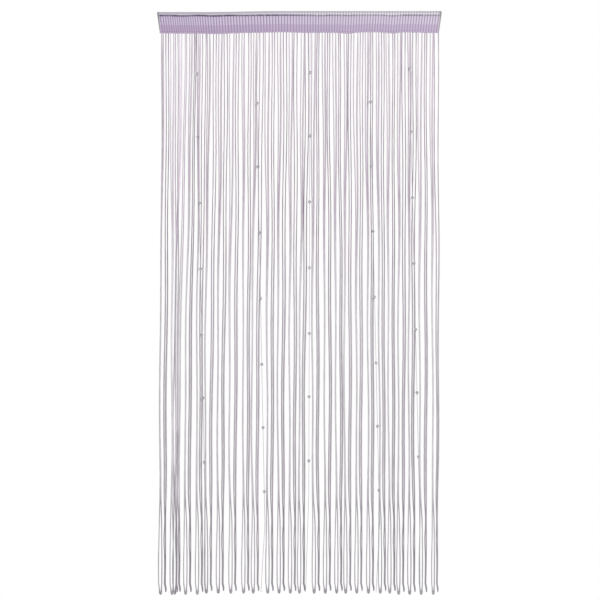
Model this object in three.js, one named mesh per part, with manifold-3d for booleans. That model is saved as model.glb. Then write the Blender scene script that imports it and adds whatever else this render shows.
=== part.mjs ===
// A string curtain: a ribbed heading cloth with a rolled hem, a fringe of looped yarns that hangs from it,
// and clear beads on thin threads in front of the yarns.
import * as THREE from "three";
import { mergeVertices } from "three/addons/utils/BufferGeometryUtils.js";
import Module from "manifold-3d";

const wasm = await Module();
wasm.setup();
const { clamp, lerp, smoothstep } = THREE.MathUtils;

// Sizes in millimetres. X runs across, Z is up from the top edge's middle, and the front faces -Y.
const DROP = 2000; // top edge to the lowest loop
const HEM_WIDTH = 975; // heading along its rolled hem
const FOOT_WIDTH = 958; // heading along its lower edge
const CLOTH_HEIGHT = 67.5; // heading cloth from hem to lower edge
const CLOTH_BACK = 1.3; // the heading's flat back, behind the hanging line
const HEM_DEPTH = 8; // how far down the heading keeps its hem width
const LEFT_SAG = 3.4; // how much lower the left end hangs
const FOOT_WAVE = 0.8; // unevenness of the heading's lower edge
const DIPS = [167, 319]; // where that edge dips lower
const DIP_DEPTH = 3;
const DIP_HALF = 22; // half a dip's width
const SEAM_GAP = 0.4; // between the heading and the fringe's backing
const BACKING_HEIGHT = 5.8;
const BACKING_HALF = 1.6; // half the backing's thickness
const FRINGE_WIDTH = 956;
const YARN_COUNT = 104; // hanging legs, two to a loop
const YARN_RADIUS = 1.7; // corner of the three-sided yarn
const YARN_LAYER = 2; // how far a yarn hangs in front of or behind the hanging line
const CROWDING = 24; // how far the roots shift to the left where two bunches hang as one
const WANDER = 1.3; // sideways waver of a hanging yarn
const SCATTER = 2.8; // how far a yarn's root may stand from its even place
const SWAY = 3; // how far a whole loop may hang to one side halfway down
const SETTLED_DROP = 1500; // below this the yarns hang in bunches, above it they fan out to their roots
const WAVER_END = 1960; // below this the yarns no longer waver
const MIDDLE_HALF = 330; // the loops nearer the middle than this are shorter
const MIDDLE_RISE = 4; // by this much
const ROOT_DROP = 70.5; // where yarns begin, inside the backing
const THREAD_RADIUS = 0.9; // corner of the three-sided bead thread
const THREAD_FRONT = 10.5; // how far the bead threads hang in front of the hanging line
const THREAD_END = 9; // how much shorter a bead thread is than the curtain
const BEAD_COUNT = 7; // on each thread
const BEAD_PITCH = 221.8;
const BEAD_SHIFTS = [0, -4.5, -0.4, 3.2, 6.8, 1.4, -0.9]; // how far below its even place each bead hangs

// The heading's front from top to bottom: drop, thickness in front of the hanging line, rib height.
const HEADING_ROWS = [
  { drop: 0, front: 0.5, rib: 0 },
  { drop: 3, front: 2.6, rib: 0.1 },
  { drop: 10.5, front: 2.9, rib: 0.2 },
  { drop: 14.3, front: 0.3, rib: 0 },
  { drop: 18, front: 1.1, rib: 0.8 },
  { drop: 43.5, front: 1.1, rib: 0.8 },
  { drop: 46, front: 1.5, rib: 0.4 },
  { drop: CLOTH_HEIGHT, front: 1.4, rib: 0.4 },
];

// Where a bunch's four yarns hang, sideways from the bunch's loop. Left and middle are one loop,
// inner and outer the other.
const BUNCH_ROWS = [
  { drop: 300, left: -1.2, middle: -6, inner: 11, outer: 17.2 },
  { drop: 648, left: -1.2, middle: -6, inner: 11, outer: 17.2 },
  { drop: 990, left: -3.4, middle: -6, inner: 11.4, outer: 17.8 },
  { drop: 1335, left: -3.6, middle: -3.6, inner: 11, outer: 17.2 },
  { drop: 1540, left: -3.4, middle: -2.6, inner: 10.6, outer: 16.8 },
  { drop: 1675, left: -3.4, middle: -0.3, inner: 11.5, outer: 16.8 },
  { drop: 1745, left: -4.2, middle: 3, inner: 14.3, outer: 16.8 },
  { drop: 1815, left: -5.3, middle: 3.9, inner: 12.2, outer: 17.2 },
  { drop: 1880, left: -6.8, middle: 4.6, inner: 14.2, outer: 17.2 },
  { drop: 1960, left: -6.5, middle: 4.2, inner: 13.4, outer: 16 },
];

// The lower bend of each loop: its other leg, sideways place, half-width, height above the bunch's foot, and
// rise of its shoulders.
const BENDS = {
  left: { to: "middle", place: 0, half: 2.2, lift: 0, shoulder: 4.5 },
  inner: { to: "outer", place: 18, half: 1.1, lift: 8, shoulder: 9 },
};

// The bunches from left to right: step from the one before, how far one hangs behind the rest, and how
// widely its yarns spread.
const FIRST_BUNCH = -476;
const BUNCHES = [
  { step: 0, behind: 0, spread: 1 },
  { step: 39.4, behind: 0, spread: 1 },
  { step: 9, behind: 8, spread: 1 },
  { step: 37.6, behind: 0, spread: 1 },
  { step: 40.2, behind: 0, spread: 1 },
  { step: 30.9, behind: 0, spread: 1 },
  { step: 40.8, behind: 0, spread: 1 },
  { step: 42.9, behind: 0, spread: 1 },
  { step: 44.1, behind: 0, spread: 1 },
  { step: 33, behind: 0, spread: 1 },
  { step: 49.6, behind: 0, spread: 1 },
  { step: 38.8, behind: 0, spread: 1 },
  { step: 38.7, behind: 0, spread: 1 },
  { step: 31.2, behind: 0, spread: 1 },
  { step: 50.4, behind: 0, spread: 1 },
  { step: 38.4, behind: 0, spread: 1 },
  { step: 38.8, behind: 0, spread: 1 },
  { step: 31.1, behind: 0, spread: 1 },
  { step: 37.8, behind: 0, spread: 1 },
  { step: 40.1, behind: 0, spread: 1 },
  { step: 40.7, behind: 0, spread: 1 },
  { step: 32.3, behind: 0, spread: 1 },
  { step: 30.6, behind: 0, spread: 1 },
  { step: 37.6, behind: 0, spread: 1 },
  { step: 39.5, behind: 0, spread: 1 },
  { step: 41.5, behind: 0, spread: 0.85 },
];

// The bead threads: the gap between yarns where each begins, its first bead's drop, and its sideways
// places at its first bead, last bead and foot.
const BEAD_THREADS = [
  { gap: 16, drop: 215.7, first: -351.7, last: -326, foot: -321 },
  { gap: 38, drop: 316.3, first: -146, last: -120.4, foot: -131.6 },
  { gap: 56, drop: 210.9, first: 36.3, last: 32.4, foot: 21 },
  { gap: 78, drop: 311.8, first: 242.5, last: 272.2, foot: 262.6 },
  { gap: 93, drop: 197, first: 376.7, last: 407.6, foot: 413.4 },
];

// A bead's half section beside its hole, from the bore's lower rim round the facets and back.
const BEAD_SIDES = 6;
const BEAD_PROFILE = [
  { radius: 1.4, height: -6.4 },
  { radius: 2.2, height: -6.4 },
  { radius: 6.2, height: 0.2 },
  { radius: 6.2, height: 1.2 },
  { radius: 3.4, height: 4.8 },
  { radius: 1.4, height: 4.8 },
  { radius: 1.4, height: -6.4 },
];

const HEADING_LOOK = { color: 0xbcaec6, roughness: 0.85, metalness: 0 };
const YARN_LOOK = { color: 0xa79fab, roughness: 0.8, metalness: 0 };
const BEAD_LOOK = { color: 0xe2e5e8, roughness: 0.08, metalness: 0 };

// A repeatable number from -1 to 1 for a yarn or rib.
function uneven(index, salt) {
  const wave = Math.sin(index * 12.9898 + salt * 78.233) * 43758.5453;
  return 2 * (wave - Math.floor(wave)) - 1;
}

// Sideways place at a share of the width: even, but shifted left where two bunches crowd together.
function placeAcross(share, width) {
  const crowd = smoothstep(share, 0, 0.2) * (1 - smoothstep(share, 0.2, 0.55));
  return (share - 0.5) * width - CROWDING * crowd * (width / FRINGE_WIDTH);
}

// Height of a point of the heading or its backing, with the left end's sag and the uneven lower edge.
function heightAt(x, drop) {
  const sag = LEFT_SAG * smoothstep(-x, 60, 330);
  let wave = FOOT_WAVE * (Math.sin(x / 61) + 0.6 * Math.sin(x / 23 + 1));
  for (const dip of DIPS) {
    wave += DIP_DEPTH * Math.exp(-(((x - dip) / DIP_HALF) ** 2));
  }
  return -drop - sag - (wave * drop) / CLOTH_HEIGHT;
}

// A closed sheet with a worked front and a plain back: the front has a point for each column and row,
// the back only its upper and lower edges.
function sheetGeometry(columns, rows, frontPoint, backPoint) {
  const points = [];
  for (let row = 0; row <= rows; row++) {
    for (let column = 0; column <= columns; column++) points.push(...frontPoint(column, row));
  }
  for (const row of [0, rows]) {
    for (let column = 0; column <= columns; column++) points.push(...backPoint(column, row));
  }
  const front = (column, row) => row * (columns + 1) + column;
  const upperBack = (column) => front(column, rows + 1);
  const lowerBack = (column) => front(column, rows + 2);
  const faces = [];
  const quad = (a, b, c, d) => faces.push(a, b, c, a, c, d);
  for (let column = 0; column < columns; column++) {
    const next = column + 1;
    for (let row = 0; row < rows; row++) {
      quad(front(column, row), front(column, row + 1), front(next, row + 1), front(next, row));
    }
    quad(upperBack(next), lowerBack(next), lowerBack(column), upperBack(column));
    quad(upperBack(column), front(column, 0), front(next, 0), upperBack(next));
    quad(front(column, rows), lowerBack(column), lowerBack(next), front(next, rows));
  }
  for (let row = 0; row < rows; row++) {
    faces.push(upperBack(0), front(0, row + 1), front(0, row));
    faces.push(upperBack(columns), front(columns, row), front(columns, row + 1));
  }
  faces.push(upperBack(0), lowerBack(0), front(0, rows));
  faces.push(upperBack(columns), front(columns, rows), lowerBack(columns));
  const sheet = new THREE.BufferGeometry();
  sheet.setAttribute("position", new THREE.Float32BufferAttribute(points, 3));
  sheet.setIndex(faces);
  return sheet;
}

// The heading cloth: every second column is a rib's crest, in line with the yarn below it.
function headingGeometry() {
  const columns = 2 * YARN_COUNT;
  const outline = (column, row) => {
    const { drop } = HEADING_ROWS[row];
    const taper = clamp((drop - HEM_DEPTH) / (CLOTH_HEIGHT - HEM_DEPTH), 0, 1);
    const x = placeAcross(column / columns, lerp(HEM_WIDTH, FOOT_WIDTH, taper));
    return { x, z: heightAt(x, drop) };
  };
  const frontPoint = (column, row) => {
    const { front, rib } = HEADING_ROWS[row];
    const crest = column % 2 === 1 ? rib * (1 + 0.25 * uneven(column, 1)) : 0;
    const { x, z } = outline(column, row);
    return [x, -front - crest, z];
  };
  const backPoint = (column, row) => {
    const { x, z } = outline(column, row);
    return [x, CLOTH_BACK, z];
  };
  return sheetGeometry(columns, HEADING_ROWS.length - 1, frontPoint, backPoint);
}

// The backing: a narrow strip parted from the heading's lower edge.
function backingGeometry() {
  const columns = YARN_COUNT;
  const edges = [CLOTH_HEIGHT + SEAM_GAP, CLOTH_HEIGHT + SEAM_GAP + BACKING_HEIGHT];
  const point = (side) => (column, row) => {
    const x = (column / columns - 0.5) * FOOT_WIDTH;
    return [x, side * BACKING_HALF, heightAt(x, edges[row])];
  };
  return sheetGeometry(columns, 1, point(-1), point(1));
}

// A hanging path straight from point to point, whose section keeps one flat to the front.
class HangingPath extends THREE.Curve {
  constructor(points) {
    super();
    this.points = points;
  }

  getUtoTmapping(u) {
    return u;
  }

  getPoint(t) {
    const along = t * (this.points.length - 1);
    const from = Math.min(Math.floor(along), this.points.length - 2);
    return this.points[from].clone().lerp(this.points[from + 1], along - from);
  }

  computeFrenetFrames(segments) {
    const frames = { tangents: [], normals: [], binormals: [] };
    for (let i = 0; i <= segments; i++) {
      const tangent = this.getTangent(i / segments);
      const normal = new THREE.Vector3(0, -1, 0).addScaledVector(tangent, tangent.y).normalize();
      frames.tangents.push(tangent);
      frames.normals.push(normal);
      frames.binormals.push(tangent.clone().cross(normal));
    }
    return frames;
  }
}

// A three-sided strand carried along its points.
function strandGeometry(points, radius) {
  const corners = [];
  for (const turn of [1, 3, 5]) {
    const angle = (turn * Math.PI) / 3;
    corners.push(new THREE.Vector2(radius * Math.cos(angle), radius * Math.sin(angle)));
  }
  return new THREE.ExtrudeGeometry(new THREE.Shape(corners), {
    steps: points.length - 1,
    bevelEnabled: false,
    extrudePath: new HangingPath(points),
  });
}

// One yarn leg from its root down to its last row above the bend.
function yarnLeg(bunch, leg) {
  const order = Object.keys(BUNCH_ROWS[0]).indexOf(leg) - 1;
  const yarn = 4 * bunch.index + order;
  const besideThread = BEAD_THREADS.some(({ gap }) => gap === yarn || gap === yarn + 1);
  const scatter = besideThread ? 0 : SCATTER * uneven(yarn, 9);
  const root = placeAcross((yarn + 0.5) / YARN_COUNT, FRINGE_WIDTH) + scatter;
  const layer = bunch.behind + (order % 2 === 0 ? -YARN_LAYER : YARN_LAYER);
  const points = [new THREE.Vector3(root, 0, heightAt(root, ROOT_DROP))];
  for (const row of BUNCH_ROWS) {
    const settled = smoothstep(row.drop, ROOT_DROP, SETTLED_DROP);
    const calm = smoothstep(WAVER_END - row.drop, 0, 400);
    const waver = WANDER * calm * Math.sin(row.drop / 97 + 3 * uneven(Math.floor(yarn / 2), 2));
    const halfway = smoothstep(row.drop, 300, 800) * (1 - smoothstep(row.drop, 1500, 1780));
    const sway = SWAY * halfway * uneven(Math.floor(yarn / 2), 10);
    const x = lerp(root, bunch.place + bunch.spread * row[leg], settled) + waver + sway;
    points.push(new THREE.Vector3(x, layer, -row.drop));
  }
  return points;
}

// A yarn loop: down one leg, round the bend and up the other leg.
function yarnLoop(bunch, leg) {
  const bend = BENDS[leg];
  const rise = Math.abs(bunch.place) < MIDDLE_HALF ? MIDDLE_RISE : 0;
  const foot = -DROP + YARN_RADIUS + bend.lift + rise;
  const x = bunch.place + bunch.spread * bend.place;
  const shoulder = (side) =>
    new THREE.Vector3(x + side * bend.half, bunch.behind + side * 0.8 * YARN_LAYER, foot + bend.shoulder);
  const lowest = new THREE.Vector3(x, bunch.behind, foot);
  const down = yarnLeg(bunch, leg);
  const up = yarnLeg(bunch, bend.to).reverse();
  return strandGeometry([...down, shoulder(-1), lowest, shoulder(1), ...up], YARN_RADIUS);
}

// A bead thread's points: it leaves the backing, comes to the front above its first bead, and hangs
// straight from there.
function threadPoints(thread) {
  const root = placeAcross(thread.gap / YARN_COUNT, FRINGE_WIDTH);
  const points = [new THREE.Vector3(root, 0, heightAt(root, ROOT_DROP))];
  points.push(new THREE.Vector3(root, 0, heightAt(root, ROOT_DROP + BACKING_HEIGHT)));
  points.push(new THREE.Vector3(thread.first, -THREAD_FRONT, -thread.drop + BEAD_PITCH / 5));
  for (let bead = 0; bead < BEAD_COUNT; bead++) {
    const share = (bead + 0.5) / (BEAD_COUNT - 1);
    const z = -thread.drop - (bead + 0.5) * BEAD_PITCH;
    points.push(new THREE.Vector3(lerp(thread.first, thread.last, share), -THREAD_FRONT, z));
  }
  points.push(new THREE.Vector3(thread.foot, -THREAD_FRONT, -DROP + THREAD_END));
  return points;
}

// A faceted bead turned about its hole.
function beadGeometry() {
  const profile = BEAD_PROFILE.map(({ radius, height }) => new THREE.Vector2(radius, height));
  return new THREE.LatheGeometry(profile, BEAD_SIDES).rotateX(Math.PI / 2);
}

// A geometry as a solid that can be joined to others, and back.
function solidOf(geometry) {
  const bare = geometry.clone();
  bare.deleteAttribute("normal");
  bare.deleteAttribute("uv");
  const merged = mergeVertices(bare, 1e-4);
  const vertProperties = merged.attributes.position.array;
  const triVerts = new Uint32Array(merged.index.array);
  return new wasm.Manifold(new wasm.Mesh({ numProp: 3, vertProperties, triVerts }));
}

function geometryOf(solid) {
  const { vertProperties, triVerts } = solid.getMesh();
  const geometry = new THREE.BufferGeometry();
  geometry.setAttribute("position", new THREE.Float32BufferAttribute(vertProperties, 3));
  geometry.setIndex([...triVerts]);
  return geometry;
}

// The fringe: all loops and threads fused to the backing at their roots.
function fringeGeometry() {
  let place = FIRST_BUNCH;
  let fringe = solidOf(backingGeometry());
  BUNCHES.forEach((row, index) => {
    place += row.step;
    const bunch = { ...row, index, place };
    for (const leg of Object.keys(BENDS)) fringe = fringe.add(solidOf(yarnLoop(bunch, leg)));
  });
  for (const thread of BEAD_THREADS) {
    fringe = fringe.add(solidOf(strandGeometry(threadPoints(thread), THREAD_RADIUS)));
  }
  return geometryOf(fringe);
}

function piece(name, geometry, look) {
  const mesh = new THREE.Mesh(geometry, new THREE.MeshStandardMaterial(look));
  mesh.name = name;
  return mesh;
}

const curtain = new THREE.Group();
curtain.add(piece("heading", headingGeometry(), HEADING_LOOK));
curtain.add(piece("strand_fringe", fringeGeometry(), YARN_LOOK));
BEAD_THREADS.forEach((thread, column) => {
  const points = threadPoints(thread);
  for (let bead = 0; bead < BEAD_COUNT; bead++) {
    const [above, below] = points.slice(bead + 2, bead + 4);
    const mesh = piece(`bead_${column + 1}_${bead + 1}`, beadGeometry(), BEAD_LOOK);
    const drop = thread.drop + bead * BEAD_PITCH + BEAD_SHIFTS[bead];
    const share = (above.z + drop) / (above.z - below.z);
    mesh.position.lerpVectors(above, below, share);
    mesh.quaternion.setFromUnitVectors(new THREE.Vector3(0, 0, 1), above.clone().sub(below).normalize());
    curtain.add(mesh);
  }
});

export default curtain;
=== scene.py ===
"""A lilac string curtain: a ribbed heading cloth with a rolled hem, looped yarns that hang in bunches, and
clear faceted beads on thin threads in front of them. Shapes are worked out in millimetres and put into meshes
in metres."""

import bpy
import numpy as np
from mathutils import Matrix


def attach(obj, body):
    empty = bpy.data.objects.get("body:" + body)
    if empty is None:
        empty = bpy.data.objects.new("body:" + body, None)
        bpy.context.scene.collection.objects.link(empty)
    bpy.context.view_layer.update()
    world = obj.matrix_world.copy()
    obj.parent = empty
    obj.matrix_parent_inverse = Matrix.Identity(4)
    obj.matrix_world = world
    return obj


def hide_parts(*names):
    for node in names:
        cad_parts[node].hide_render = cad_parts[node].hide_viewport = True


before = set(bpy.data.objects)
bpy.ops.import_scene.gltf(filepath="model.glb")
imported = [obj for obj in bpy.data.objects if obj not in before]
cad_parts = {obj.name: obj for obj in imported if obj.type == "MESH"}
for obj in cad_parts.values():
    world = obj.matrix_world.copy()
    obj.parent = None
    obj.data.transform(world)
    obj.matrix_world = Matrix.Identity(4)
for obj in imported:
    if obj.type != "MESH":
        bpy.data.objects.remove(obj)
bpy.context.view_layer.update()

# All sizes are in millimetres: X across, Z up from the top edge's middle, the front towards -Y.
MM = 0.001
DROP = 2000.0

# The heading cloth: its outline, the sag of its left end, and the waves and dips of its lower edge.
HEM_WIDTH = 975.0
FOOT_WIDTH = 958.0
CLOTH_HEIGHT = 67.5
CLOTH_BACK = 1.3
HEM_DEPTH = 8.0
LEFT_SAG = 3.4
LEFT_END = (60.0, 330.0)
FOOT_WAVE = 0.8
LONG_WAVE, SHORT_WAVE, SHORT_SHARE = 61.0, 23.0, 0.6
DIPS = (167.0, 319.0)
DIP_DEPTH = 3.0
DIP_HALF = 22.0

# The backing strip that holds the yarns' roots. Its upper edge laps up into the heading, so that no slit shows.
SEAM_GAP = 0.4
BACKING_HEIGHT = 5.8
BACKING_HALF = 1.6
BACKING_LAP = 0.9

# The yarns: uneven roots, two layers, a waver and a sway on the way down, and a calm end in their bunches.
FRINGE_WIDTH = 956.0
YARN_COUNT = 104
YARN_HALF = 1.9
YARN_LAYER = 2.0
ROOT_DROP = 70.5
CROWDING = 24.0
CROWD_ZONE = (0.0, 0.2, 0.2, 0.55)
SCATTER = 2.8
LAYERED_DROP = 300.0
SETTLED_DROP = 1500.0
LEG_END = 1960.0
CALM_LENGTH = 400.0
WAVER, WAVER_LENGTH, WAVER_PHASE = 1.3, 97.0, 3.0
KINK, KINK_LENGTH, KINK_PHASE = 0.2, 6.1, 9.0
SWELL_LENGTH, SWELL_PHASE = 41.0, 5.0
SWAY = 3.0
SWAY_ZONE = (300.0, 800.0, 1500.0, 1780.0)

# The rings along a leg: even ones, then closer ones near the bend, and the steps between two points of a bend.
LEG_RINGS, EVEN_END = 230, 1900.0
CLOSE_RINGS, CLOSE_FROM = 8, 1907.0
BEND_STEPS = 7

# A bunch's four yarns, sideways from the bunch's loop: drop, then left, middle, inner and outer yarn.
BUNCH_ROWS = np.array([
    (300, -1.2, -6, 11, 17.2),
    (648, -1.2, -6, 11, 17.2),
    (990, -3.4, -6, 11.4, 17.8),
    (1335, -3.6, -3.6, 11, 17.2),
    (1540, -3.4, -2.6, 10.6, 16.8),
    (1675, -3.4, -0.3, 11.5, 16.8),
    (1745, -4.2, 3, 14.3, 16.8),
    (1815, -5.3, 3.9, 12.2, 17.2),
    (1880, -6.8, 4.6, 14.2, 17.2),
    (1960, -6.5, 4.2, 13.4, 16),
])

# The lower bend of a bunch's two loops: sideways place, half-width, height above the foot, rise of its
# shoulders.
BENDS = np.array([(0, 2.2, 0, 4.5), (18, 1.1, 8, 9)])

# A bend draws in at its throat, this part of the way from the leg's end to the shoulder, and its shoulders lie
# this part of a layer to the front and back. Loops in the curtain's middle end a little higher.
THROAT = 0.6
SHOULDER_LAYER = 0.8
MIDDLE_HALF = 330.0
MIDDLE_RISE = 4.0

# The bunches from left to right: step from the one before. One hangs behind the rest, and the last is narrower.
FIRST_BUNCH = -476.0
BUNCH_STEPS = np.array([
    0, 39.4, 9, 37.6, 40.2, 30.9, 40.8, 42.9, 44.1, 33, 49.6, 38.8, 38.7,
    31.2, 50.4, 38.4, 38.8, 31.1, 37.8, 40.1, 40.7, 32.3, 30.6, 37.6, 39.5, 41.5,
])
BUNCH_NUMBER = np.arange(len(BUNCH_STEPS))
BUNCH_PLACE = FIRST_BUNCH + np.cumsum(BUNCH_STEPS)
BUNCH_BEHIND = np.where(BUNCH_NUMBER == 2, 8.0, 0.0)
BUNCH_SPREAD = np.where(BUNCH_NUMBER == BUNCH_NUMBER[-1], 0.85, 1.0)

# The bead threads: gap between yarns where each begins, drop of the first bead, and sideways places at the
# first bead, the last bead and the foot.
BEAD_THREADS = np.array([
    (16, 215.7, -351.7, -326, -321),
    (38, 316.3, -146, -120.4, -131.6),
    (56, 210.9, 36.3, 32.4, 21),
    (78, 311.8, 242.5, 272.2, 262.6),
    (93, 197, 376.7, 407.6, 413.4),
])
THREAD_FRONT = 10.5
THREAD_END = 9.0

# Seven beads sit on a thread at an even pitch, each shifted down by the same amounts on all threads.
BEAD_COUNT = 7
BEAD_PITCH = 221.8
BEAD_SHIFTS = np.array([0, -4.5, -0.4, 3.2, 6.8, 1.4, -0.9])
FIRST_LEAD = BEAD_PITCH / 5

# Uneven numbers come from a stirred sine, and a salt keeps one set of them apart from another.
INDEX_STIR, SALT_STIR, SINE_SIZE = 12.9898, 78.233, 43758.5453
RIB_SALT, WAVER_SALT, KINK_SALT, SWELL_SALT, SLUB_SALT = 1, 2, 3, 4, 5
LONG_SLUB_SALT, SHADE_SALT, SEAM_SALT, ROOT_SALT, SWAY_SALT = 6, 7, 8, 9, 10


def uneven(index, salt):
    """A repeatable number from -1 to 1: twice the fraction of a large sine of the index, less one."""
    wave = np.sin(index * INDEX_STIR + salt * SALT_STIR) * SINE_SIZE
    return 2 * (wave - np.floor(wave)) - 1


def soft_step(x, low, high):
    """0 below low, 1 above high, and the cubic 3t^2 - 2t^3 between."""
    t = np.clip((x - low) / (high - low), 0, 1)
    return t * t * (3 - 2 * t)


def within(x, zone):
    """A soft plateau: a soft step up between a zone's first two limits, times one down between its last two."""
    low, full, fading, gone = zone
    return soft_step(x, low, full) * (1 - soft_step(x, fading, gone))


def place_across(share, width):
    """Sideways place at a share of the width: even, less a soft hump where two bunches crowd together."""
    return (share - 0.5) * width - CROWDING * within(share, CROWD_ZONE) * (width / FRINGE_WIDTH)


def height_at(x, drop):
    """Minus the drop, less the left end's sag, less two sines and two bell-shaped dips along the cloth that grow
    towards its lower edge."""
    sag = LEFT_SAG * soft_step(-x, *LEFT_END)
    wave = FOOT_WAVE * (np.sin(x / LONG_WAVE) + SHORT_SHARE * np.sin(x / SHORT_WAVE + 1))
    wave = wave + DIP_DEPTH * sum(np.exp(-((x - dip) / DIP_HALF) ** 2) for dip in DIPS)
    return -drop - sag - wave * drop / CLOTH_HEIGHT


def cubic(t, start, end, leaving, arriving):
    """The cubic from start to end, with the slopes leaving and arriving, as t goes from 0 to 1."""
    curve = (2 * t**3 - 3 * t**2 + 1) * start + (t**3 - 2 * t**2 + t) * leaving
    return curve + (3 * t**2 - 2 * t**3) * end + (t**3 - t**2) * arriving


def through_rows(stations, values, at):
    """A smooth curve through rows: in each gap the cubic whose end slopes are the rows' mean slopes."""
    at = np.clip(at, stations[0], stations[-1])
    slopes = np.gradient(values, stations, axis=0)
    gap = np.clip(np.searchsorted(stations, at, side="right") - 1, 0, len(stations) - 2)
    width = (stations[gap + 1] - stations[gap])[:, None]
    t = (at - stations[gap])[:, None] / width
    return cubic(t, values[gap], values[gap + 1], width * slopes[gap], width * slopes[gap + 1])


def round_through(knots, per_gap):
    """Round curves through knots (curves, knots, 3): cubics with the slopes of a curve whose pace follows the
    square root of each chord, so that short chords bend tightly. The first and last gaps only give slopes."""
    chords = np.sqrt(np.linalg.norm(np.diff(knots, axis=1), axis=2))
    speed = np.diff(knots, axis=1) / chords[..., None]
    before, after = chords[:, :-1, None], chords[:, 1:, None]
    slopes = (speed[:, :-1] * after + speed[:, 1:] * before) / (before + after)
    t = np.linspace(0, 1, per_gap, endpoint=False)[None, None, :, None]
    width = chords[:, 1:-1, None, None]
    start, end = knots[:, 1:-2, None], knots[:, 2:-1, None]
    curve = cubic(t, start, end, slopes[:, :-1, None] * width, slopes[:, 1:, None] * width)
    return curve.reshape(len(knots), -1, 3)


def yarn_legs(drops):
    """All hanging legs (yarns, drops, 3): from its root, unevenly placed except beside a bead thread, each yarn
    eases over to its place in its bunch, with a slow sine waver, a small kink of two sines and a sway shared by
    a loop's two legs, in front of or behind the hanging line by turns."""
    yarn = np.arange(YARN_COUNT)[:, None]
    loop, bunch, order = yarn // 2, yarn // 4, yarn % 4
    fall = drops[None]
    beside_thread = np.isin(yarn, BEAD_THREADS[:, 0]) | np.isin(yarn + 1, BEAD_THREADS[:, 0])
    root = place_across((yarn + 0.5) / YARN_COUNT, FRINGE_WIDTH)
    root = root + SCATTER * uneven(yarn, ROOT_SALT) * ~beside_thread
    table = through_rows(BUNCH_ROWS[:, 0], BUNCH_ROWS[:, 1:], drops)
    gathered = BUNCH_PLACE[bunch] + BUNCH_SPREAD[bunch] * table.T[order[:, 0]]
    settled = soft_step(fall, ROOT_DROP, SETTLED_DROP)
    calm = soft_step(LEG_END - fall, 0, CALM_LENGTH)
    waver = WAVER * calm * np.sin(fall / WAVER_LENGTH + WAVER_PHASE * uneven(loop, WAVER_SALT))
    swell = np.sin(fall / SWELL_LENGTH + SWELL_PHASE * uneven(yarn, SWELL_SALT))
    kink = KINK * calm * np.sin(fall / KINK_LENGTH + KINK_PHASE * uneven(yarn, KINK_SALT)) * swell
    sway = SWAY * uneven(loop, SWAY_SALT) * within(fall, SWAY_ZONE)
    x = root + (gathered - root) * settled + waver + kink + sway
    parted = soft_step(fall, ROOT_DROP, LAYERED_DROP)
    y = (BUNCH_BEHIND[bunch] + np.where(order % 2 == 0, -YARN_LAYER, YARN_LAYER)) * parted
    lift = (height_at(root, ROOT_DROP) + ROOT_DROP) * (1 - parted)
    return np.stack([x, y, lift - fall], axis=2)


def yarn_loops():
    """Whole loops (loops, rings, 3): down one leg, then a round curve through the throat, the shoulder, the
    lowest point, the other shoulder and the other throat, and up the other leg."""
    even = np.linspace(ROOT_DROP, EVEN_END, LEG_RINGS)
    legs = yarn_legs(np.concatenate([even, np.linspace(CLOSE_FROM, LEG_END, CLOSE_RINGS)]))
    down, up = legs[0::2], legs[1::2]
    loop = np.arange(len(down))
    bunch = loop // 2
    place, half, lift, shoulder = BENDS[loop % 2].T
    rise = np.where(np.abs(BUNCH_PLACE[bunch]) < MIDDLE_HALF, MIDDLE_RISE, 0)
    x = BUNCH_PLACE[bunch] + BUNCH_SPREAD[bunch] * place
    foot = -DROP + YARN_HALF + lift + rise
    lowest = np.stack([x, BUNCH_BEHIND[bunch], foot], axis=1)
    side = np.stack([half, SHOULDER_LAYER * YARN_LAYER + 0 * half, 0 * half], axis=1)
    top = np.stack([0 * half, 0 * half, shoulder], axis=1)
    falling, rising = lowest - side + top, lowest + side + top
    going_in = down[:, -1] + THROAT * (falling - down[:, -1])
    going_out = up[:, -1] + THROAT * (rising - up[:, -1])
    knots = [down[:, -2], down[:, -1], going_in, falling, lowest, rising, going_out, up[:, -1], up[:, -2]]
    bend = round_through(np.stack(knots, axis=1), BEND_STEPS)
    return np.concatenate([down[:, :-1], bend, up[:, ::-1]], axis=1)


def thread_routes():
    """The bead threads' corner points (threads, corners, 3): out of the backing, forward, then from midway
    between one pair of beads to midway between the next, and to the foot."""
    gap, drop, first, last, foot = BEAD_THREADS.T
    root = place_across(gap / YARN_COUNT, FRINGE_WIDTH)
    front = np.full(len(BEAD_THREADS), -THREAD_FRONT)
    corners = [
        np.stack([root, 0 * root, height_at(root, ROOT_DROP)], axis=1),
        np.stack([root, 0 * root, height_at(root, ROOT_DROP + BACKING_HEIGHT)], axis=1),
        np.stack([first, front, FIRST_LEAD - drop], axis=1),
    ]
    for half_step in np.arange(BEAD_COUNT) + 0.5:
        x = first + (last - first) * half_step / (BEAD_COUNT - 1)
        corners.append(np.stack([x, front, -drop - half_step * BEAD_PITCH], axis=1))
    corners.append(np.stack([foot, front, 0 * foot + THREAD_END - DROP], axis=1))
    return np.stack(corners, axis=1)


def length_along(routes):
    """Length from each route's start to each of its points (routes, points): the sum of the chords so far."""
    length = np.linalg.norm(np.diff(routes, axis=1), axis=2).cumsum(axis=1)
    return np.concatenate([0 * length[:, :1], length], axis=1)


# Making meshes. The bake map keeps these margins at a column's sides and ends, and puts the caps in one corner.
BAKE_SIDE, BAKE_END, BAKE_CORNER = 0.05, 0.005, 0.002


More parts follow.
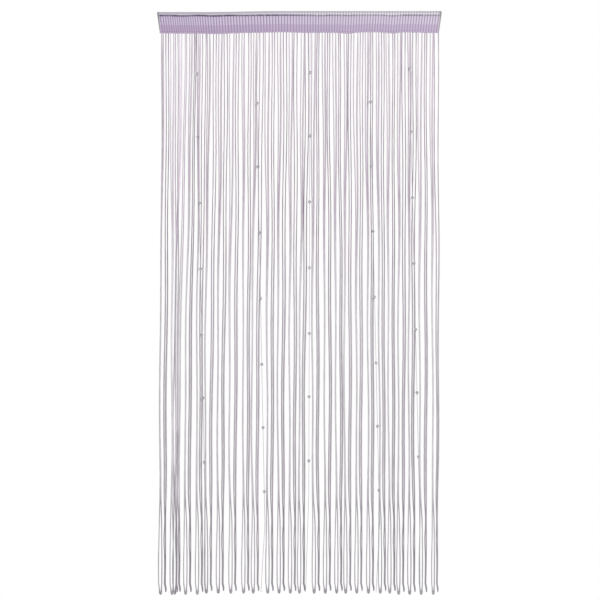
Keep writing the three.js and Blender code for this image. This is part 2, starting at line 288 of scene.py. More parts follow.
def new_piece(name, points, faces, material, smooth=True):
    """Puts points in millimetres (n, 3) and arrays of faces (m, corners) into one mesh in metres."""
    mesh = bpy.data.meshes.new(name)
    mesh.vertices.add(len(points))
    mesh.vertices.foreach_set("co", (points * MM).astype(np.float32).ravel())
    corners = np.concatenate([f.ravel() for f in faces]).astype(np.int32)
    counts = np.concatenate([np.full(len(f), f.shape[1]) for f in faces])
    mesh.loops.add(len(corners))
    mesh.loops.foreach_set("vertex_index", corners)
    mesh.polygons.add(len(counts))
    mesh.polygons.foreach_set("loop_start", (np.cumsum(counts) - counts).astype(np.int32))
    mesh.polygons.foreach_set("use_smooth", np.full(len(counts), smooth))
    mesh.materials.append(material)
    mesh.update(calc_edges=True)
    mesh.validate()
    piece = bpy.data.objects.new(name, mesh)
    bpy.context.scene.collection.objects.link(piece)
    return piece


def add_map(piece, name, corners):
    """A UV map from one place for each face corner, in the order of the faces."""
    layer = piece.data.uv_layers.new(name=name)
    layer.uv.foreach_set("vector", corners.astype(np.float32).ravel())


def add_value(piece, name, values):
    """A number at each point that a material reads by name."""
    layer = piece.data.attributes.new(name, "FLOAT", "POINT")
    layer.data.foreach_set("value", values.astype(np.float32).ravel())


def strand_rings(routes, radius, sides):
    """Points of round strands (strands, rings, sides, 3): at each route point a ring of the given radius,
    square to the route, that starts at the front."""
    along = np.gradient(routes, axis=1)
    along /= np.linalg.norm(along, axis=2, keepdims=True)
    front = np.array([0.0, -1.0, 0.0])
    normal = front - (along @ front)[..., None] * along
    normal /= np.linalg.norm(normal, axis=2, keepdims=True)
    across = np.cross(along, normal)
    turn = 2 * np.pi * np.arange(sides) / sides
    ring = np.cos(turn)[:, None] * normal[:, :, None] + np.sin(turn)[:, None] * across[:, :, None]
    return routes[:, :, None] + radius[..., None, None] * ring


def strand_piece(name, routes, radius, sides, columns, material):
    """Strands as one mesh with capped ends, a map of turn and length in metres, and a bake map that cuts each
    strand into columns side by side."""
    strands, rings = routes.shape[:2]
    points = strand_rings(routes, radius, sides)
    index = np.arange(strands * rings * sides).reshape(strands, rings, sides)
    beside = np.roll(index, -1, axis=2)
    quads = np.stack([index[:, :-1], beside[:, :-1], beside[:, 1:], index[:, 1:]], axis=3).reshape(-1, 4)
    caps = np.concatenate([index[:, 0, ::-1], index[:, -1]])
    piece = new_piece(name, points.reshape(-1, 3), [quads, caps], material)
    length = length_along(routes) * MM
    turn = np.arange(sides + 1) / sides
    shape = (strands, rings - 1, sides)
    low, high = (np.broadcast_to(v[:, :, None], shape) for v in (length[:, :-1], length[:, 1:]))
    near, far = (np.broadcast_to(v, shape) for v in (turn[:-1], turn[1:]))
    twist = np.stack([near, low, far, low, far, high, near, high], axis=3).reshape(-1, 2)
    add_map(piece, "twist", np.concatenate([twist, np.zeros((caps.size, 2))]))
    tall = int(np.ceil((rings - 1) / columns))
    ring = np.arange(rings - 1)
    column = (np.arange(strands)[:, None] * columns + ring // tall)[..., None]
    left, right = ((column + BAKE_SIDE + (1 - 2 * BAKE_SIDE) * v) / (strands * columns) for v in (near, far))
    rise = (1 - 2 * BAKE_END) / tall
    bottom = np.broadcast_to((BAKE_END + rise * (ring % tall))[None, :, None], shape)
    top = bottom + rise
    bake = np.stack([left, bottom, right, bottom, right, top, left, top], axis=3).reshape(-1, 2)
    add_map(piece, "OFBake", np.concatenate([bake, np.full((caps.size, 2), BAKE_CORNER)]))
    return piece


def sheet_piece(name, section, material):
    """A closed sheet: a closed section (columns, around, 3) carried along the cloth, with its two ends filled."""
    columns, around = section.shape[:2]
    index = np.arange(columns * around).reshape(columns, around)
    below = np.roll(index, -1, axis=1)
    quads = np.stack([index[:-1], below[:-1], below[1:], index[1:]], axis=2).reshape(-1, 4)
    return new_piece(name, section.reshape(-1, 3), [quads, index[:1, ::-1], index[-1:]], material)


# Colours and material nodes. These sizes of patterns are in metres, as the materials read them.
YARN_FIBRE, YARN_CLOUD = 0.004, 0.06
KNIT_FIBRE, KNIT_CLOUD = 0.0012, 0.045
POLISH_MARK = 0.0008
FLOOR_MOTTLE = 0.3

# The heights in metres between which the yarns turn paler and lilac, what fibres, height and clouds add to
# their brightness, and the shades between which their dye weakens.
PALER_FROM, PALER_FULL = -1.3, -0.1
LILAC_FROM, LILAC_FULL = -0.95, -0.6
YARN_BRIGHT, FUZZ_BRIGHT, TOP_BRIGHT, CLOUD_BRIGHT = 0.6, 0.5, 0.22, 0.3
DYED_SHADE, FADED_SHADE, FADED_DYE = 1.2, 1.9, 0.5

# The knit's brightness and what its fibres add, the hues of its patches, and its stronger colour at the left end,
# painted shade for the end away from the lamp.
KNIT_BRIGHT, KNIT_FIBRE_BRIGHT = 0.88, 0.24
PINKER_HUE, BLUER_HUE = 0.515, 0.485
LEFT_SHADE_SATURATION, LEFT_SHADE_FULL, LEFT_SHADE_GONE = 1.25, -0.48, 0.2

# The part of a noise's range that is spread out, and the beads' roughness from clean to marked.
NOISE_LOW, NOISE_HIGH = 0.3, 0.7
CLEAN_POLISH, MARKED_POLISH = 0.01, 0.06

# A colour Mix node's sockets by number: share of the upper colour, lower colour, upper colour, and the result.
SHARE, UNDER, OVER, MIXED = 0, 6, 7, 2


def linear(hex_colour):
    """An sRGB hex colour as linear light: the sRGB curve undone channel by channel, with full opacity."""
    channels = np.array([int(hex_colour[i:i + 2], 16) for i in (1, 3, 5)]) / 255
    light = np.where(channels <= 0.04045, channels / 12.92, ((channels + 0.055) / 1.055) ** 2.4)
    return (*light.tolist(), 1.0)


def add(tree, kind, inputs=None, **settings):
    """Adds a node with its settings, and sets or links each named input."""
    node = tree.nodes.new(kind)
    for key, value in settings.items():
        setattr(node, key, value)
    for key, value in (inputs or {}).items():
        if isinstance(value, bpy.types.NodeSocket):
            tree.links.new(value, node.inputs[key])
        else:
            node.inputs[key].default_value = value
    return node


def new_material(name):
    """An empty node material and its output node."""
    material = bpy.data.materials.new(name)
    material.use_nodes = True
    material.node_tree.nodes.clear()
    return material, material.node_tree, add(material.node_tree, "ShaderNodeOutputMaterial")


def twisted_yarn(name, dark, light, tint, plies, pitch):
    """Soft spun polyester yarn of twisted plies. To the eye: matt, a little fuzzy at the rim, with slanting ply
    lines every few millimetres whose dark grooves are painted shade, lilac in the upper third and greyer below.
    Paler yarns hold less dye, so they are greyer too. The fibres are drawn coarser than real ones, so that they
    show."""
    material, tree, out = new_material(name)

    # Ply lines: the size of a sine whose angle grows with the turn around the yarn and the length along it.
    twist = add(tree, "ShaderNodeUVMap", uv_map="twist")
    parts = add(tree, "ShaderNodeSeparateXYZ", {"Vector": twist.outputs[0]})
    around = add(tree, "ShaderNodeMath", {0: parts.outputs[0], 1: plies}, operation="MULTIPLY")
    along = add(tree, "ShaderNodeMath", {0: parts.outputs[1], 1: 1 / pitch, 2: around.outputs[0]},
                operation="MULTIPLY_ADD")
    angle = add(tree, "ShaderNodeMath", {0: along.outputs[0], 1: np.pi}, operation="MULTIPLY")
    wave = add(tree, "ShaderNodeMath", {0: angle.outputs[0]}, operation="SINE")
    ply = add(tree, "ShaderNodeMath", {0: wave.outputs[0]}, operation="ABSOLUTE")

    # Fibres: noise drawn out along the plies, so that it turns with them and has no seam.
    turned = add(tree, "ShaderNodeMath", {0: angle.outputs[0], 1: 2 / plies}, operation="MULTIPLY")
    fibre_x = add(tree, "ShaderNodeMath", {0: turned.outputs[0]}, operation="COSINE")
    fibre_y = add(tree, "ShaderNodeMath", {0: turned.outputs[0]}, operation="SINE")
    fibre_z = add(tree, "ShaderNodeMath", {0: parts.outputs[1], 1: 1 / YARN_FIBRE}, operation="MULTIPLY")
    fibres = add(tree, "ShaderNodeCombineXYZ",
                 {0: fibre_x.outputs[0], 1: fibre_y.outputs[0], 2: fibre_z.outputs[0]})
    fuzz = add(tree, "ShaderNodeTexNoise", {"Vector": fibres.outputs[0], "Scale": 6.0, "Detail": 4.0})

    # Colour: ply lines with painted shade in the grooves between the plies, tinted lilac in the upper third.
    place = add(tree, "ShaderNodeTexCoord")
    height = add(tree, "ShaderNodeSeparateXYZ", {"Vector": place.outputs["Object"]})
    near_top = add(tree, "ShaderNodeMapRange", {
        "Value": height.outputs[2], "From Min": PALER_FROM, "From Max": PALER_FULL})
    upper_third = add(tree, "ShaderNodeMapRange", {
        "Value": height.outputs[2], "From Min": LILAC_FROM, "From Max": LILAC_FULL})
    groove_shaded = add(tree, "ShaderNodeMix", {SHARE: ply.outputs[0], UNDER: linear(dark), OVER: linear(light)},
                data_type="RGBA")
    tinted = add(tree, "ShaderNodeMix",
                 {SHARE: upper_third.outputs[0], UNDER: groove_shaded.outputs[MIXED], OVER: linear(tint)},
                 data_type="RGBA", blend_type="MULTIPLY")

    # Brightness: fibres and slow clouds, paler near the top, times each strand's own shade.
    clouds = add(tree, "ShaderNodeTexNoise",
                 {"Vector": place.outputs["Object"], "Scale": 1 / YARN_CLOUD, "Detail": 1.0})
    grain = add(tree, "ShaderNodeMath", {0: fuzz.outputs[0], 1: FUZZ_BRIGHT, 2: YARN_BRIGHT},
                operation="MULTIPLY_ADD")
    top_grain = add(tree, "ShaderNodeMath", {0: near_top.outputs[0], 1: TOP_BRIGHT, 2: grain.outputs[0]},
                    operation="MULTIPLY_ADD")
    cloudy = add(tree, "ShaderNodeMath", {0: clouds.outputs[0], 1: CLOUD_BRIGHT, 2: top_grain.outputs[0]},
                 operation="MULTIPLY_ADD")
    strand = add(tree, "ShaderNodeAttribute", attribute_name="shade")
    value = add(tree, "ShaderNodeMath", {0: cloudy.outputs[0], 1: strand.outputs["Fac"]}, operation="MULTIPLY")
    saturation_map = add(tree, "ShaderNodeMapRange", {
        "Value": strand.outputs["Fac"], "From Min": DYED_SHADE, "From Max": FADED_SHADE,
        "To Min": 1.0, "To Max": FADED_DYE})
    colour = add(tree, "ShaderNodeHueSaturation", {
        "Saturation": saturation_map.outputs[0], "Value": value.outputs[0], "Color": tinted.outputs[MIXED]})

    relief = add(tree, "ShaderNodeMath", {0: fuzz.outputs[0], 1: 0.4, 2: ply.outputs[0]},
                 operation="MULTIPLY_ADD")
    bump = add(tree, "ShaderNodeBump", {"Strength": 0.6, "Distance": 0.0004, "Height": relief.outputs[0]})
    shader = add(tree, "ShaderNodeBsdfPrincipled", {
        "Base Color": colour.outputs[0], "Roughness": 0.85, "Sheen Weight": 0.25, "Sheen Roughness": 0.5,
        "Specular IOR Level": 0.3, "Normal": bump.outputs[0]})
    tree.links.new(shader.outputs[0], out.inputs[0])
    return material


def ribbed_knit():
    """Warp-knitted polyester, ribbed upright. To the eye: pale lilac crests with darker, deeper valleys whose
    darkness is painted shade, a more saturated close-knit lower band, a greyer rolled hem with painted shade on
    its top and in its rib valleys, above a dark stitched seam that carries the painted shadow under the hem, and
    grey side hems. Its fibres are drawn coarser than real ones, so that they show."""
    material, tree, out = new_material("ribbed_lilac_knit")
    reads = {name: add(tree, "ShaderNodeAttribute", attribute_name=name).outputs["Fac"]
             for name in ("crest", "band", "hem", "seam_and_shadow", "edge")}

    # Valley and crest colours of the ribs, the close-knit band and the rolled hem, laid over each other in turn.
    #     The valley colours are painted shade, and the seam's dark colour is the stitched seam with the painted
    #     shadow under the hem.
    ribs, close, rolled = (
        add(tree, "ShaderNodeMix", {SHARE: reads["crest"], UNDER: linear(valley), OVER: linear(top)},
            data_type="RGBA")
        for valley, top in (("#85778f", "#d4c9dc"), ("#93819c", "#c0b1c8"), ("#8f8c95", "#e0dce6")))
    cloth = ribs.outputs[MIXED]
    for name, layer in (("band", close.outputs[MIXED]), ("hem", rolled.outputs[MIXED]),
                        ("seam_and_shadow", linear("#453d50")), ("edge", linear("#8e8b90"))):
        laid = add(tree, "ShaderNodeMix", {SHARE: reads[name], UNDER: cloth, OVER: layer}, data_type="RGBA")
        cloth = laid.outputs[MIXED]

    # Fibres change the brightness, patches the hue, and painted shade makes the colour a little stronger towards
    # the left end, away from the lamp.
    place = add(tree, "ShaderNodeTexCoord")
    fibre = add(tree, "ShaderNodeTexNoise",
                {"Vector": place.outputs["Object"], "Scale": 1 / KNIT_FIBRE, "Detail": 3.0})
    patches = add(tree, "ShaderNodeTexNoise",
                  {"Vector": place.outputs["Object"], "Scale": 1 / KNIT_CLOUD, "Detail": 2.0})
    grain = add(tree, "ShaderNodeMath", {0: fibre.outputs[0], 1: KNIT_FIBRE_BRIGHT, 2: KNIT_BRIGHT},
                operation="MULTIPLY_ADD")
    hue = add(tree, "ShaderNodeMapRange", {
        "Value": patches.outputs[0], "From Min": NOISE_LOW, "From Max": NOISE_HIGH,
        "To Min": BLUER_HUE, "To Max": PINKER_HUE})
    across = add(tree, "ShaderNodeSeparateXYZ", {"Vector": place.outputs["Object"]})
    saturation_map = add(tree, "ShaderNodeMapRange", {
        "Value": across.outputs[0], "From Min": LEFT_SHADE_FULL, "From Max": LEFT_SHADE_GONE,
        "To Min": LEFT_SHADE_SATURATION, "To Max": 1.0})
    colour = add(tree, "ShaderNodeHueSaturation", {
        "Hue": hue.outputs[0], "Saturation": saturation_map.outputs[0], "Value": grain.outputs[0], "Color": cloth})
    bump = add(tree, "ShaderNodeBump", {"Strength": 0.5, "Distance": 0.0003, "Height": fibre.outputs[0]})
    shader = add(tree, "ShaderNodeBsdfPrincipled", {
        "Base Color": colour.outputs[0], "Roughness": 0.8, "Sheen Weight": 0.15, "Sheen Roughness": 0.4,
        "Specular IOR Level": 0.3, "Normal": bump.outputs[0]})
    tree.links.new(shader.outputs[0], out.inputs[0])
    return material


def clear_acrylic():
    """Cast acrylic, cut in facets and polished. To the eye: clear and slightly milky, bright where it gathers
    light, grey where a facet turns the view aside, with faint polishing marks."""
    material, tree, out = new_material("clear_cut_acrylic")
    place = add(tree, "ShaderNodeTexCoord")
    marks = add(tree, "ShaderNodeTexNoise",
                {"Vector": place.outputs["Object"], "Scale": 1 / POLISH_MARK, "Detail": 2.0})
    rough = add(tree, "ShaderNodeMapRange", {
        "Value": marks.outputs[0], "From Min": NOISE_LOW, "From Max": NOISE_HIGH,
        "To Min": CLEAN_POLISH, "To Max": MARKED_POLISH})
    shader = add(tree, "ShaderNodeBsdfPrincipled", {
        "Base Color": linear("#f4f7f9"), "Roughness": rough.outputs[0], "IOR": 1.49,
        "Transmission Weight": 0.85})
    tree.links.new(shader.outputs[0], out.inputs[0])
    return material


def painted_floor():
    """Matt white studio floor. To the eye: plain and pale, with a barely visible mottling."""
    material, tree, out = new_material("matt_white_floor")
    place = add(tree, "ShaderNodeTexCoord")
    mottle = add(tree, "ShaderNodeTexNoise",
                 {"Vector": place.outputs["Object"], "Scale": 1 / FLOOR_MOTTLE, "Detail": 2.0})
    colour = add(tree, "ShaderNodeMix",
                 {SHARE: mottle.outputs[0], UNDER: linear("#f6f6f6"), OVER: linear("#fafafa")},
                 data_type="RGBA")
    shader = add(tree, "ShaderNodeBsdfPrincipled", {"Base Color": colour.outputs[MIXED], "Roughness": 0.9})
    tree.links.new(shader.outputs[0], out.inputs[0])
    return material


# The heading's mesh: columns to a rib, and rows on the front and the back.
RIB_COLUMNS = 6
FRONT_ROWS = 72
BACK_ROWS = 26

# Where things lie on the heading, as drops below the top edge: the hem's roll, the ribs at full height, the
# close-knit band's relief and colour, the painted shade on the hem's top, and where the side hems begin.
HEM_MID, HEM_HALF = 7.0, 7.3
HEM_FADE = 1.5
RIBS_FULL = 18.0
BAND_RELIEF = (43.5, 46.0)
BAND_COLOUR = (43.0, 47.0)
HEM_SHADED = (4.0, 10.0)
SIDE_FROM = (2.0, 6.0)

# The heading's relief towards the front, then on the back.
GROUND = 0.3
HEM_RISE = 2.6
RIB_GROUND, BAND_GROUND = 1.1, 0.4
RIB_RISE, BAND_LOWER, RIB_UNEVEN = 0.85, 0.4, 0.25
HEM_RIB, HEM_DOT_RIB = 0.15, 0.25
STITCH, STITCH_RISE = 3.75, 0.18
SIDE_HEM, SIDE_TAPER, SIDE_SLOPE = 8.0, 0.5, 3.0
SIDE_RISE, SIDE_PLAIN = 0.7, 0.8
RIB_ROUND = 0.7
BACK_RIB, BACK_STITCH = 0.25, 0.15

# The seam under the hem: its drop, two sags, and towards the left end a rise and a short wave.
SEAM_DROP = 14.0
SEAM_SAGS = (71.0, 319.0)
SEAM_SAG, SEAM_SAG_HALF = 1.5, 22.0
SEAM_LEVEL = 1.6
SEAM_WAVE, SEAM_WAVE_LENGTH, SEAM_WAVE_END = 0.7, 17.0, (100.0, 300.0)

# How dark the seam and the painted shadow under the hem are, how that weakens from the middle to the right, and
# how wide it shows on front and back.
SEAM_DARK, SEAM_WEAKER, SEAM_MIDDLE = 0.87, 0.4, (-70.0, 40.0)
SEAM_UNEVEN = 0.15
SEAM_SWELL, SEAM_SWELL_LENGTHS = 0.08, (37.0, 83.0)
SEAM_WIDTH, SEAM_BACK_WIDTH = 2.9, 1.2

# Painted shade: between the stitches on the ribs, on the hem's top, and in the hem's rib valleys, so that the
# hem is plain on the left and dotted, rib by rib, on the right.
STITCH_SHADE = 0.25
HEM_TOP_SHADE = 0.45
DOTTED_FROM = (-60.0, 60.0)
HEM_PLAIN, HEM_DOTTED, HEM_DOT_DEEP = 0.81, 0.39, 0.05

# The backing's section: points around it, how square it is, how far it bulges at a yarn, where its lips begin,
# and how thick it is in the valleys.
BACKING_AROUND = 20
BACKING_SQUARE = 0.4
BACKING_BULGE = 1.0
BACKING_LIP = 0.2
BACKING_VALLEY = 0.65


def heading_outline(share, drop):
    """Sideways place and height of the cloth at a share of its width: it keeps its hem width, then tapers."""
    taper = np.clip((drop - HEM_DEPTH) / (CLOTH_HEIGHT - HEM_DEPTH), 0, 1)
    x = place_across(share, HEM_WIDTH + (FOOT_WIDTH - HEM_WIDTH) * taper)
    return x, height_at(x, drop)


def rib_crest(share):
    """1 on a rib's crest and 0 in the valley beside it: a power below 1 of a sine's size, so that valleys are
    sharp."""
    return np.abs(np.sin(np.pi * share * YARN_COUNT)) ** RIB_ROUND


def seam_line(x):
    """The seam's drop: level with two bell-shaped sags, and higher towards the left end, with a sine wave."""
    drop = SEAM_DROP + SEAM_SAG * sum(np.exp(-((x - sag) / SEAM_SAG_HALF) ** 2) for sag in SEAM_SAGS)
    wave = SEAM_WAVE * np.sin(x / SEAM_WAVE_LENGTH) * soft_step(-x, *SEAM_WAVE_END)
    return drop - SEAM_LEVEL * soft_step(-x, *LEFT_END) + wave


def seam_darkness(x, rib):
    """How dark the seam and the painted shadow under the hem show: weaker past the middle, uneven from rib to
    rib, with a swell of two sines.
    """
    dark = SEAM_DARK - SEAM_WEAKER * soft_step(x, *SEAM_MIDDLE) + SEAM_UNEVEN * uneven(rib, SEAM_SALT)
    short, long = SEAM_SWELL_LENGTHS
    return dark + SEAM_SWELL * np.sin(x / short) * np.sin(x / long + 1)


def heading_cloth(material):
    """The heading: a closed section carried along the cloth. Its front rises in a half-round hem, dips at the
    seam, and carries ribs with slanting chain stitches, lower in the close-knit band and plain at the side
    hems. Its back is plain, with wider stitches. Numbers at its points tell the material where crests, band,
    hems and seam lie, with painted shade in the valleys and the painted shadow under the hem at the seam."""
    share = np.linspace(0, 1, RIB_COLUMNS * YARN_COUNT + 1)[:, None]
    rib_number = np.floor(share * YARN_COUNT)
    crest = rib_crest(share)

    # The front, by rows from the top edge down.
    drop = np.linspace(0, CLOTH_HEIGHT, FRONT_ROWS)[None]
    x, z = heading_outline(share, drop)
    seam_drop = seam_line(x)
    in_hem = 1 - soft_step(drop, seam_drop - HEM_FADE, seam_drop)
    side_width = SIDE_HEM * (1 - SIDE_TAPER * drop / CLOTH_HEIGHT)
    side_hem = 1 - soft_step(np.minimum(x - x[:1], x[-1:] - x), side_width - SIDE_SLOPE, side_width)
    unsewn = 1 - SIDE_PLAIN * side_hem
    dotted = soft_step(x, *DOTTED_FROM)
    ribbed, banded = soft_step(drop, seam_drop, RIBS_FULL), soft_step(drop, *BAND_RELIEF)
    roll = in_hem * np.sqrt(np.clip(1 - ((drop - HEM_MID) / HEM_HALF) ** 2, 0, 1))
    rib = (RIB_RISE * ribbed - BAND_LOWER * banded) * (1 - in_hem)
    rib = rib * (1 + RIB_UNEVEN * uneven(rib_number, RIB_SALT)) * unsewn
    slant = np.abs((share * YARN_COUNT) % 1 - 0.5)
    stitch = np.abs(np.sin(np.pi * (drop / STITCH + slant))) * (1 - in_hem)
    raised = GROUND + HEM_RISE * roll + RIB_GROUND * ribbed + BAND_GROUND * banded
    raised = raised + (rib + roll * (HEM_RIB + HEM_DOT_RIB * dotted) + STITCH_RISE * stitch) * crest
    raised = raised + SIDE_RISE * side_hem * soft_step(drop, *SIDE_FROM)
    front = np.stack([x, -raised, z], axis=2)

    # The back, by rows from the lower edge up.
    back_drop = np.linspace(CLOTH_HEIGHT, 0, BACK_ROWS)[None]
    back_x, back_z = heading_outline(share, back_drop)
    back_stitch = np.abs(np.sin(np.pi * back_drop / (2 * STITCH)))
    back_y = CLOTH_BACK - BACK_RIB * (1 - crest) - BACK_STITCH * back_stitch
    back = np.stack([back_x, back_y, back_z], axis=2)
    cloth = sheet_piece("heading_cloth", np.concatenate([front, back], axis=1), material)

    # What the material reads, on the front and then on the back.
    # The stitched seam with the painted shadow that the rolled hem casts on it.
    seam_and_shadow = np.exp(-((drop - seam_drop) / SEAM_WIDTH) ** 2) * seam_darkness(x, rib_number) * unsewn
    hem = np.maximum(in_hem, side_hem)
    # Painted shade: on the hem's top, in the hem's rib valleys, dotted on the right, and in the rib valleys and
    # between the stitches.
    hem_shade = HEM_TOP_SHADE + (1 - HEM_TOP_SHADE) * soft_step(drop, *HEM_SHADED)
    dots = (HEM_DOT_DEEP + (1 - HEM_DOT_DEEP) * dotted) * (1 - crest**2)
    hem_crest = hem_shade * (HEM_PLAIN + HEM_DOTTED * dotted - dots)
    rib_shade = crest * (1 - STITCH_SHADE + STITCH_SHADE * stitch)
    plain = np.ones_like(back_x)
    for name, at_front, at_back in (
        ("crest", np.where(hem > 0.5, hem_crest, rib_shade), plain * crest),
        ("band", soft_step(drop, *BAND_COLOUR) + 0 * x, plain * soft_step(back_drop, *BAND_COLOUR)),
        ("hem", hem, plain * (1 - soft_step(back_drop, SEAM_DROP - HEM_FADE, SEAM_DROP))),
        ("seam_and_shadow", np.clip(seam_and_shadow, 0, 1), plain * np.exp(-((back_drop - SEAM_DROP) / SEAM_BACK_WIDTH) ** 2)),
        ("edge", side_hem, plain * side_hem[:, :1]),
    ):
        add_value(cloth, name, np.concatenate([at_front, at_back], axis=1))
    return cloth


def fringe_backing(material):
    """The strip that holds the roots: a narrow oval section, squared by a power of its sine and cosine, with the
    heading's ribs, a bulge at each yarn along its lower edge, and an upper edge that laps up into the heading."""
    share = np.linspace(0, 1, RIB_COLUMNS * YARN_COUNT + 1)[:, None]
    turn = np.linspace(0, 2 * np.pi, BACKING_AROUND, endpoint=False)[None]
    up, out = np.cos(turn), np.sin(turn)
    crest = rib_crest(share)
    x = place_across(share, FOOT_WIDTH) + 0 * turn
    tall = np.sign(up) * np.abs(up) ** BACKING_SQUARE * BACKING_HEIGHT / 2
    thick = np.sign(out) * np.abs(out) ** BACKING_SQUARE
    drop = CLOTH_HEIGHT + SEAM_GAP + BACKING_HEIGHT / 2 - tall
    drop = drop + BACKING_BULGE * (crest - 0.5) * (up < -BACKING_LIP) - BACKING_LAP * (up > BACKING_LIP)
    y = -thick * BACKING_HALF * (BACKING_VALLEY + (1 - BACKING_VALLEY) * crest)
    strip = sheet_piece("fringe_backing", np.stack([x, y, height_at(x, drop)], axis=2), material)
    # Painted shade in the backing's rib valleys, through its crest numbers.
    for name, value in (("crest", crest), ("band", 1), ("hem", 0), ("seam_and_shadow", 0), ("edge", 0)):
        add_value(strip, name, value + 0 * x)
    return strip


# Yarns and bead threads: sides of a strand, columns in its bake map, and loops in one piece.
YARN_SIDES, YARN_COLUMNS = 7, 6
LOOPS_PER_PIECE = 13
THREAD_HALF = 0.8
THREAD_SIDES, THREAD_COLUMNS = 6, 4
THREAD_STEPS = 20
THREAD_SHADE = 1.1

# Slubs, where a yarn swells, and the fuller bend at the foot.
SLUB, SLUB_LENGTH, SLUB_PHASE = 0.1, 19.0, 7.0
LONG_SLUB_LENGTH, LONG_SLUB_PHASE = 53.0, 5.0
BEND_FULLER, BEND_HEIGHT = 0.7, 15.0

# By drop: in the upper part thin dark yarns and full pale ones take turns, and further down all are fuller and
# paler until the loops spread.
UPPER_PART = (80.0, 160.0, 600.0, 1150.0)
LOWER_PART = (600.0, 1150.0, 1550.0, 1750.0)
UPPER_FULLER, UPPER_THINNER = 0.55, 0.2
LOWER_FULLER, LOWER_RISING = 0.26, 0.16
UPPER_PALER, UPPER_DARKER, DARKER_FROM = 0.25, 0.32, (200.0, 500.0)
LOWER_PALER = 0.3

# A strand's shade: its mean, and what changes it from loop to loop, in slubs, legs and bends, where two bunches
# crowd together, with painted light on the bunch behind and the one beside it, and where the loops spread.
YARN_SHADE = 1.6
SECOND_DARKER = 0.33
SHADE_UNEVEN = 0.12
SLUB_PALER = 0.06
LEFT_PALER = 0.2
BEND_DARKER, SECOND_BEND_DARKER = 0.18, 0.08
BEHIND_PAINTED_LIGHT, BESIDE_PAINTED_LIGHT, CROWDED_TO = 0.65, 0.3, (1620.0, 1800.0)
SPREAD_PALER, SPREAD_PART = 0.16, (1770.0, 1805.0, 1830.0, 1865.0)


def hanging_yarns(material):
    """The loops in four pieces from left to right. A yarn's radius swells in slubs, the product of two sines
    along its length, and at the bend, by a bell curve of the height above it. Its radius and its shade also
    follow its loop, leg and drop."""
    routes = yarn_loops()
    loops, rings = routes.shape[:2]
    loop = np.arange(loops)[:, None]
    second = loop % 2
    rising_leg = np.arange(rings) >= rings / 2
    drop = -routes[..., 2]
    length = length_along(routes)
    slub = np.sin(length / SLUB_LENGTH + SLUB_PHASE * uneven(loop, SLUB_SALT))
    slub = slub * np.sin(length / LONG_SLUB_LENGTH + LONG_SLUB_PHASE * uneven(loop, LONG_SLUB_SALT))
    bend = np.exp(-((drop.max(axis=1, keepdims=True) - drop) / BEND_HEIGHT) ** 2)
    left_leg = ~rising_leg * (1 - second) * (1 - bend)
    middle_leg = rising_leg * (1 - second)
    upper, lower = within(drop, UPPER_PART), within(drop, LOWER_PART)

    fuller = (UPPER_FULLER * middle_leg - UPPER_THINNER * second) * upper
    fuller = fuller + (LOWER_FULLER + LOWER_RISING * rising_leg) * lower
    radius = YARN_HALF * (1 + SLUB * slub + BEND_FULLER * bend * (1 - second) + fuller)

    darker = UPPER_DARKER * second * soft_step(drop, *DARKER_FROM)
    paler = (UPPER_PALER * middle_leg - darker) * upper + LOWER_PALER * lower
    behind = BUNCH_BEHIND > 0
    # Painted light: the bunch that hangs behind and the one beside it are paler above their loops.
    crowded_painted_light = BEHIND_PAINTED_LIGHT * behind[loop // 2] + BESIDE_PAINTED_LIGHT * np.roll(behind, -1)[loop // 2]
    shade = YARN_SHADE - SECOND_DARKER * second + SHADE_UNEVEN * uneven(loop, SHADE_SALT)
    shade = shade + SLUB_PALER * slub + LEFT_PALER * left_leg + paler
    shade = shade - np.where(second, SECOND_BEND_DARKER, BEND_DARKER) * bend
    shade = shade + crowded_painted_light * (1 - soft_step(drop, *CROWDED_TO)) + SPREAD_PALER * within(drop, SPREAD_PART)

    pieces = []
    for first in range(0, loops, LOOPS_PER_PIECE):
        part = slice(first, first + LOOPS_PER_PIECE)
        name = f"hanging_yarns_{first // LOOPS_PER_PIECE + 1}"
        piece = strand_piece(name, routes[part], radius[part], YARN_SIDES, YARN_COLUMNS, material)
        add_value(piece, "shade", np.repeat(shade[part], YARN_SIDES, axis=1))
        pieces.append(piece)
    return pieces


def bead_threads(material):
    """The thin threads: straight from corner to corner of their routes, in even steps."""
    corners = thread_routes()
    steps = np.linspace(0, 1, THREAD_STEPS, endpoint=False)[None, None, :, None]
    runs = corners[:, :-1, None] * (1 - steps) + corners[:, 1:, None] * steps
    routes = np.concatenate([runs.reshape(len(corners), -1, 3), corners[:, -1:]], axis=1)
    radius = np.full(routes.shape[:2], THREAD_HALF)
    piece = strand_piece("bead_threads", routes, radius, THREAD_SIDES, THREAD_COLUMNS, material)
    add_value(piece, "shade", np.full((*radius.shape, THREAD_SIDES), THREAD_SHADE))
    return piece


# A cut bead's section, from its lower rim round its widest part to its upper rim: radius and height.
BEAD_SIDES = 8
BEAD_SECTION = np.array([(2.2, -6.4), (4.6, -2.6), (6.3, 0.7), (5.0, 3.0), (3.4, 4.8)])
BORE = 1.15


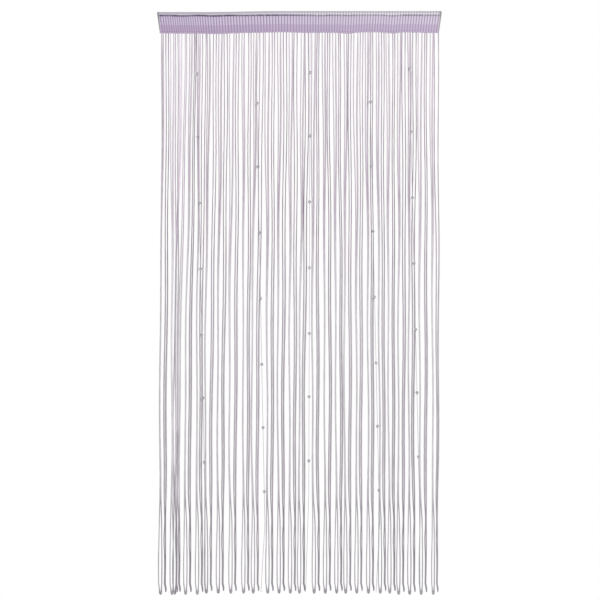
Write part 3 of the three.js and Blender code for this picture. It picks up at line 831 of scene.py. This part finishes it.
def cut_beads(material):
    """Beads cut with flat faces: a closed section, bore included, turned in eight steps about the thread's line,
    with a face to the front, and set along each thread where it passes the bead's height."""
    corners = thread_routes()
    drop = BEAD_THREADS[:, 1]
    above, below = corners[:, 2:2 + BEAD_COUNT], corners[:, 3:3 + BEAD_COUNT]
    level = -(drop[:, None] + np.arange(BEAD_COUNT) * BEAD_PITCH + BEAD_SHIFTS)
    part = (above[..., 2] - level) / (above[..., 2] - below[..., 2])
    centre = (above + (below - above) * part[..., None]).reshape(-1, 1, 1, 3)
    up = (above - below).reshape(-1, 1, 1, 3)
    up = up / np.linalg.norm(up, axis=-1, keepdims=True)
    side = np.cross(up, [0.0, -1.0, 0.0])
    side = side / np.linalg.norm(side, axis=-1, keepdims=True)
    front = np.cross(side, up)
    section = np.concatenate([BEAD_SECTION, [(BORE, BEAD_SECTION[-1, 1]), (BORE, BEAD_SECTION[0, 1])]])
    radius, height = section[None, :, None, :1], section[None, :, None, 1:]
    turn = (2 * np.pi * (np.arange(BEAD_SIDES) + 0.5) / BEAD_SIDES)[None, None, :, None]
    points = centre + radius * (np.cos(turn) * side + np.sin(turn) * front) + height * up
    index = np.arange(points.size // 3).reshape(points.shape[:3])
    next_ring, beside = np.roll(index, -1, axis=1), np.roll(index, -1, axis=2)
    faces = np.stack([index, beside, np.roll(next_ring, -1, axis=2), next_ring], axis=3).reshape(-1, 4)
    return new_piece("cut_beads", points.reshape(-1, 3), [faces], material, smooth=False)


# The pieces, what each stands for, and the finish it takes.
knit = ribbed_knit()
yarn = twisted_yarn("twisted_polyester_yarn", "#7b747e", "#9d969f", "#f8ecf6", plies=2, pitch=0.0065)
thread = twisted_yarn("fine_bead_thread", "#857f89", "#a9a3ac", "#f6e8f2", plies=2, pitch=0.0035)
acrylic = clear_acrylic()

heading = heading_cloth(knit)
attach(heading, "root")
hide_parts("heading")

backing = fringe_backing(knit)
yarns = hanging_yarns(yarn)
threads = bead_threads(thread)
for piece in (backing, *yarns, threads):
    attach(piece, "root")
    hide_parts("strand_fringe")

beads = cut_beads(acrylic)
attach(beads, "root")
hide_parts(*[f"bead_{column}_{row}" for column in range(1, 6) for row in range(1, 8)])

# The stage: a pale floor below the loops, soft even light, and a camera straight in front. The floor is in
# millimetres as the pieces are, the lamp and the camera in metres.
MM_PER_PIXEL = 3.428
PHOTO_SIDE = 600
SENSOR = 36.0
CAMERA_AWAY = 9.0
CAMERA_SIDE, CAMERA_HEIGHT = 0.002, -0.9903
FLOOR_DROP = 2060.0
floor_corners = np.array([(-2000, -3000), (2000, -3000), (2000, 300), (-2000, 300)])
floor_points = np.column_stack([floor_corners, np.full(4, -FLOOR_DROP)])
floor = new_piece("floor", floor_points, [np.arange(4)[None]], painted_floor())

# The light all around: white behind the curtain, softer from the front and from above.
world = bpy.data.worlds.new("studio")
bpy.context.scene.world = world
world.use_nodes = True
sky = world.node_tree
sky.nodes.clear()
way = add(sky, "ShaderNodeTexCoord")
way_parts = add(sky, "ShaderNodeSeparateXYZ", {"Vector": way.outputs["Object"]})
behind_white = add(sky, "ShaderNodeMapRange", {
    "Value": way_parts.outputs[1], "From Min": -0.7, "From Max": 0.5, "To Min": 0.6, "To Max": 1.0})
above_grey = add(sky, "ShaderNodeMapRange", {
    "Value": way_parts.outputs[2], "From Min": 0.15, "From Max": 0.45, "To Min": 1.0, "To Max": 0.4})
strength = add(sky, "ShaderNodeMath", {0: behind_white.outputs[0], 1: above_grey.outputs[0]},
               operation="MULTIPLY")
glow = add(sky, "ShaderNodeBackground", {"Color": linear("#ffffff"), "Strength": strength.outputs[0]})
add(sky, "ShaderNodeOutputWorld", {0: glow.outputs[0]})

lamp = bpy.data.lights.new("soft_key", "AREA")
lamp.size = 3.0
lamp.energy = 180.0
key = bpy.data.objects.new("soft_key", lamp)
key.location = (2.2, -4.0, 1.4)
key.rotation_euler = (np.radians(62), 0, np.radians(28))
bpy.context.scene.collection.objects.link(key)

lens = bpy.data.cameras.new("front")
lens.sensor_width = SENSOR
lens.lens = SENSOR * CAMERA_AWAY / (MM_PER_PIXEL * PHOTO_SIDE * MM)
camera = bpy.data.objects.new("front", lens)
camera.location = (CAMERA_SIDE, -CAMERA_AWAY, CAMERA_HEIGHT)
camera.rotation_euler = (np.pi / 2, 0, 0)
bpy.context.scene.collection.objects.link(camera)
bpy.context.scene.camera = camera
bpy.context.scene.view_settings.view_transform = "Standard"
